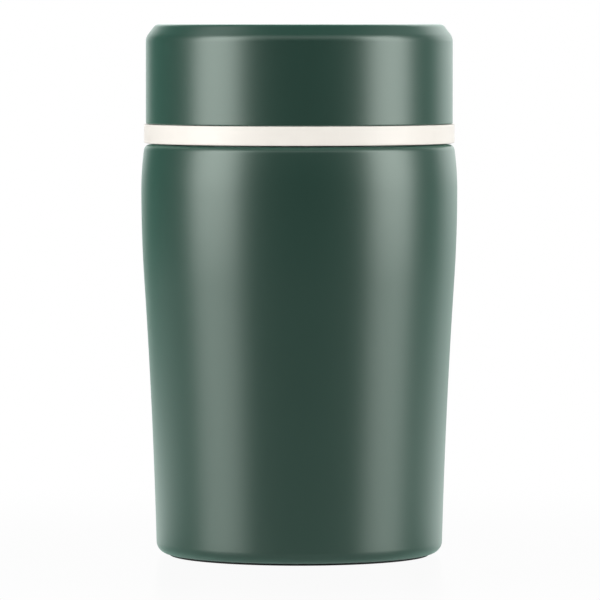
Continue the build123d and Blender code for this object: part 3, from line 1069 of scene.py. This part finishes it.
def threaded_liner(cup, thread):
    """White liner with the cup's thread and the groove for its seal."""
    low, _ = levels("cup_liner")
    outside = cup.wall + cup.liner_fit
    inside = outside + cup.liner_wall
    upper, lower = cup_corners(cup, outside)
    inner_upper, inner_lower = cup_corners(cup, inside)
    bore, bend_level = inner_lower
    groove, wall_low = bore + cup.seal_step, low + cup.seal_step
    thread_low, thread_top = wall_low + 0.7 * MM, bend_level - 3.0 * MM
    base = levels("cup_gasket")[0] - CLEARANCE + thread.cup_start - thread.slack
    relief = screw(thread, -thread.cup_crest, base, begin=LINER_BEGIN)
    outline = [(0, upper[1])] + rounded([
        (POLE, upper[1]), (*upper, cup.upper_bend - outside), (*lower, cup.lower_bend - outside),
        (lower[0], low, 0.3 * MM), (groove, low), (groove, wall_low),
        (bore, wall_low, 0.3 * MM), (bore, thread_low - JOIN),
    ])
    outline += threaded(bore, thread_low, thread_top, relief)
    outline += rounded([
        (bore, thread_top + JOIN), (*inner_lower, cup.lower_bend - inside / 2),
        (*inner_upper, cup.upper_bend), (POLE, inner_upper[1]),
    ]) + [(0, inner_upper[1])]
    piece = turned("threaded_liner", outline, "warm_white_moulding")
    placed(piece, "cup", "liner_plastic", "cup_liner")


# ------------ stage
def world_light(stage):
    """White for the camera, a soft grey on matte surfaces, and the studio in reflections."""
    world = bpy.data.worlds.new("studio")
    bpy.context.scene.world = world
    world.use_nodes = True
    room = Nodes(world.node_tree)
    camera_ray, mirror_ray, matte_ray = room.rays()
    direction = room.node("ShaderNodeTexCoord", {}, {}).outputs["Generated"]
    turn, reach, soft = stage.backdrop_turn, stage.backdrop_reach, stage.backdrop_edge / 2
    facing = room.towards(direction, (sin(turn), cos(turn), 0))
    backdrop = room.smooth(facing, cos(reach + soft), cos(reach - soft))
    rise = room.towards(direction, (0, 0, 1))
    half = stage.cove_edge / 2
    above_low = room.smooth(rise, sin(stage.cove_low - half), sin(stage.cove_low + half))
    above_high = room.smooth(rise, sin(stage.cove_high - half), sin(stage.cove_high + half))
    front = room.towards(direction, (0, -1, 0))
    cove = (above_low - above_high) * room.smooth(front, *COVE_FADE) * stage.cove_brightness
    mirrored = backdrop * (stage.backdrop_brightness - stage.dim_room) + stage.dim_room + cove
    fill = room.smooth(front, *FILL_FADE) * stage.front_fill
    strength = camera_ray + mirror_ray * mirrored + matte_ray * (fill + stage.ambient)
    glow = room.node("ShaderNodeBackground", {}, {"Color": (1, 1, 1), "Strength": strength})
    room.node("ShaderNodeOutputWorld", {}, {"Surface": glow.outputs[0]})


def white_floor(stage):
    """A wide floor, plain white at a distance, that keeps a faint shadow under the jar."""
    half, level = stage.floor_size / 2, -stage.floor_drop
    corners = [(-half, -half, level), (half, -half, level), (half, half, level), (-half, half, level)]
    mesh = bpy.data.meshes.new("floor")
    mesh.from_pydata(corners, [], [(0, 1, 2, 3)])
    floor = added("floor", mesh)
    paper = Surface("white_paper", Roughness=stage.floor_roughness)
    camera_ray, mirror_ray, matte_ray = paper.rays()
    tones = [[tone] * 3 for tone in (stage.floor_tone, stage.floor_bounce)]
    paper.feed(paper.shader, {"Base Color": paper.blend(matte_ray, *tones)})
    glow = paper.node("ShaderNodeEmission", {}, {"Color": (1, 1, 1), "Strength": 1.0})
    away = Signal(paper, paper.vector("LENGTH", paper.place(), output="Value"))
    plain = paper.smooth(away, stage.shadow_near, stage.shadow_far)
    white = stage.floor_white + plain * (1 - stage.floor_white)
    behind = paper.towards(paper.vector("NORMALIZE", paper.place()), (0, 1, 0))
    around = paper.smooth(behind, cos(stage.floor_front), cos(stage.floor_back))
    near = 1 - paper.smooth(away, stage.mirror_near, stage.mirror_far)
    mirrored = near * (around + (1 - around) * near * stage.floor_dimmest)
    mix = paper.node("ShaderNodeMixShader", {}, {
        0: camera_ray * white + mirror_ray * mirrored,
        1: paper.shader.outputs[0],
        2: glow.outputs[0],
    })
    paper.feed(paper.output, {"Surface": mix.outputs[0]})
    mesh.materials.append(paper.material)


def lamps():
    """On each side of the jar, a tall lamp and a dimmer one high above it."""
    for name, right, above, distance, aim, width, height, radiance in LAMPS:
        azimuth, rise = radians(right), radians(above)
        way = Vector((sin(azimuth) * cos(rise), -cos(azimuth) * cos(rise), sin(rise)))
        lamp = bpy.data.lights.new(name, "AREA")
        lamp.shape = "RECTANGLE"
        lamp.size, lamp.size_y = width, height
        lamp.energy = radiance * pi * width * height
        piece = added(name, lamp)
        piece.location = Vector((0, 0, aim)) + way * distance
        piece.rotation_euler = (-way).to_track_quat("-Z", "Y").to_euler()
        piece.visible_camera = False


def camera(stage):
    """A long lens at the height of the jar's top."""
    lens = bpy.data.cameras.new("camera")
    lens.lens = stage.lens
    lens.shift_x = stage.shift
    lens.clip_start, lens.clip_end = CLIP
    piece = added("camera", lens)
    piece.location = (0, -stage.distance, levels("cup_shell")[1])
    piece.rotation_euler = (pi / 2 - stage.tilt, 0, 0)
    bpy.context.scene.camera = piece


# ------------ operators
class BuildBody(bpy.types.Operator):
    """Builds the painted body, the food vessel and the pad"""

    bl_idname = "jar.body"
    bl_label = "Steel body"

    def execute(self, context):
        scene = context.scene
        painted_body(scene.jar_body, scene.jar_thread)
        food_vessel(scene.jar_body)
        standing_pad(scene.jar_body)
        return {"FINISHED"}


class FinishHidden(bpy.types.Operator):
    """Gives the pieces between the walls and under the pad their finishes"""

    bl_idname = "jar.hidden"
    bl_label = "Hidden pieces"

    def execute(self, context):
        painted("base_plate", "satin_steel")
        painted("seal_bead", "cured_resin")
        painted("heat_foil", "crinkled_foil")
        painted("getter", "sintered_metal")
        painted("getter_clip", "satin_steel")
        return {"FINISHED"}


class BuildStopper(bpy.types.Operator):
    """Builds the stopper's mouldings, foam and the seal on the mouth"""

    bl_idname = "jar.stopper"
    bl_label = "Stopper"

    def execute(self, context):
        scene = context.scene
        white_stopper(scene.jar_stopper, scene.jar_thread, scene.jar_body.shoulder_gap)
        stopper_tub(scene.jar_stopper)
        foam_fill()
        seal_ring("mouth_seal_ring", "mouth_gasket", "mouth_seal", bend=0.45 * MM)
        return {"FINISHED"}


class BuildVent(bpy.types.Operator):
    """Builds the vent's button, rod, flap and spring"""

    bl_idname = "jar.vent"
    bl_label = "Vent"

    def execute(self, context):
        vent = context.scene.jar_vent
        push_button(vent)
        vent_rod(vent)
        vent_flap(vent)
        return_spring(vent)
        return {"FINISHED"}


class BuildCup(bpy.types.Operator):
    """Builds the painted cup, its liner and its seal"""

    bl_idname = "jar.cup"
    bl_label = "Cup"

    def execute(self, context):
        scene = context.scene
        painted_cup(scene.jar_cup)
        threaded_liner(scene.jar_cup, scene.jar_thread)
        seal_ring("cup_seal_ring", "cup_gasket", "cup_seal", bend=0.25 * MM)
        return {"FINISHED"}


class BuildStage(bpy.types.Operator):
    """Sets up the floor, the lamps and the camera"""

    bl_idname = "jar.stage"
    bl_label = "Stage"

    def execute(self, context):
        stage = context.scene.jar_stage
        context.scene.view_settings.view_transform = "Standard"
        world_light(stage)
        white_floor(stage)
        lamps()
        camera(stage)
        return {"FINISHED"}


OPERATORS = (BuildBody, FinishHidden, BuildStopper, BuildVent, BuildCup, BuildStage)


class JarPanel(bpy.types.Panel):
    """Lists the steps that build the jar"""

    bl_idname = "VIEW3D_PT_food_jar"
    bl_label = "Food jar"
    bl_space_type = "VIEW_3D"
    bl_region_type = "UI"
    bl_category = "Food jar"

    def draw(self, context):
        for step in OPERATORS:
            self.layout.operator(step.bl_idname)


CLASSES = (*SETTINGS.values(), *OPERATORS, JarPanel)


def register():
    for kind in CLASSES:
        bpy.utils.register_class(kind)
    for name, group in SETTINGS.items():
        setattr(bpy.types.Scene, name, PointerProperty(type=group))


def unregister():
    for name in SETTINGS:
        delattr(bpy.types.Scene, name)
    for kind in reversed(CLASSES):
        bpy.utils.unregister_class(kind)


def main():
    """Builds everything in order."""
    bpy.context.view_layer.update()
    register()
    bpy.ops.jar.body()
    bpy.ops.jar.hidden()
    bpy.ops.jar.stopper()
    bpy.ops.jar.vent()
    bpy.ops.jar.cup()
    bpy.ops.jar.stage()


if __name__ == "__main__":
    main()
